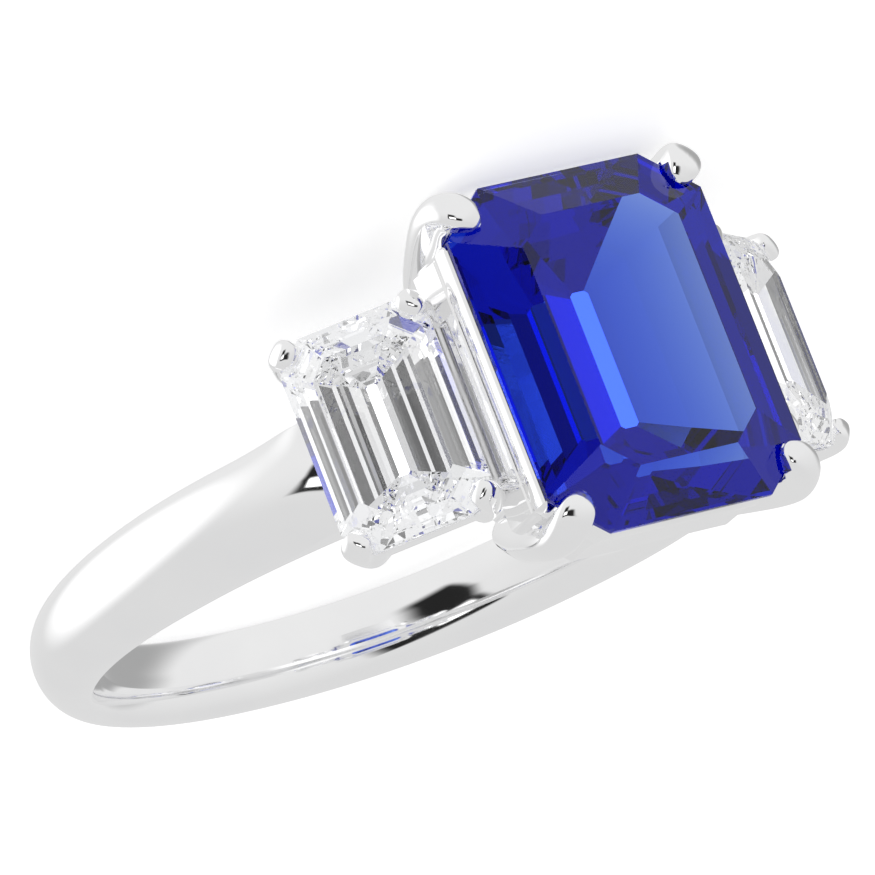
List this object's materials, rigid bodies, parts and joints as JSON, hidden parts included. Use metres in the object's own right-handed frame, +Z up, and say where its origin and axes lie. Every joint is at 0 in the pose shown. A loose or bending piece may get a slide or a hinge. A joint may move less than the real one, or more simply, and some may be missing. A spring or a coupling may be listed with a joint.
{
  "type": "three stone ring",
  "caption": "White metal finger ring with a large blue step cut stone in pointed claws and a smaller tilted clear step cut stone at each side, on a domed band.",
  "frame": {"origin": "centre of the finger hole, midway across the band", "axes": "+Z up from the surface the ring lies on, within ten degrees of the finger hole's axis; -Y from the finger hole towards the stones; +X across the three stones"},
  "size_m": [0.0204, 0.0243, 0.0096],
  "materials": {
    "polished_metal": "mirror polished white gold",
    "blue_stone": "polished blue gemstone",
    "clear_stone": "polished clear gemstone"
  },
  "bodies": {
    "root": {"ring_mount": "polished_metal", "centre_stone": "blue_stone", "left_side_stone": "clear_stone", "right_side_stone": "clear_stone"}
  },
  "joints": []
}
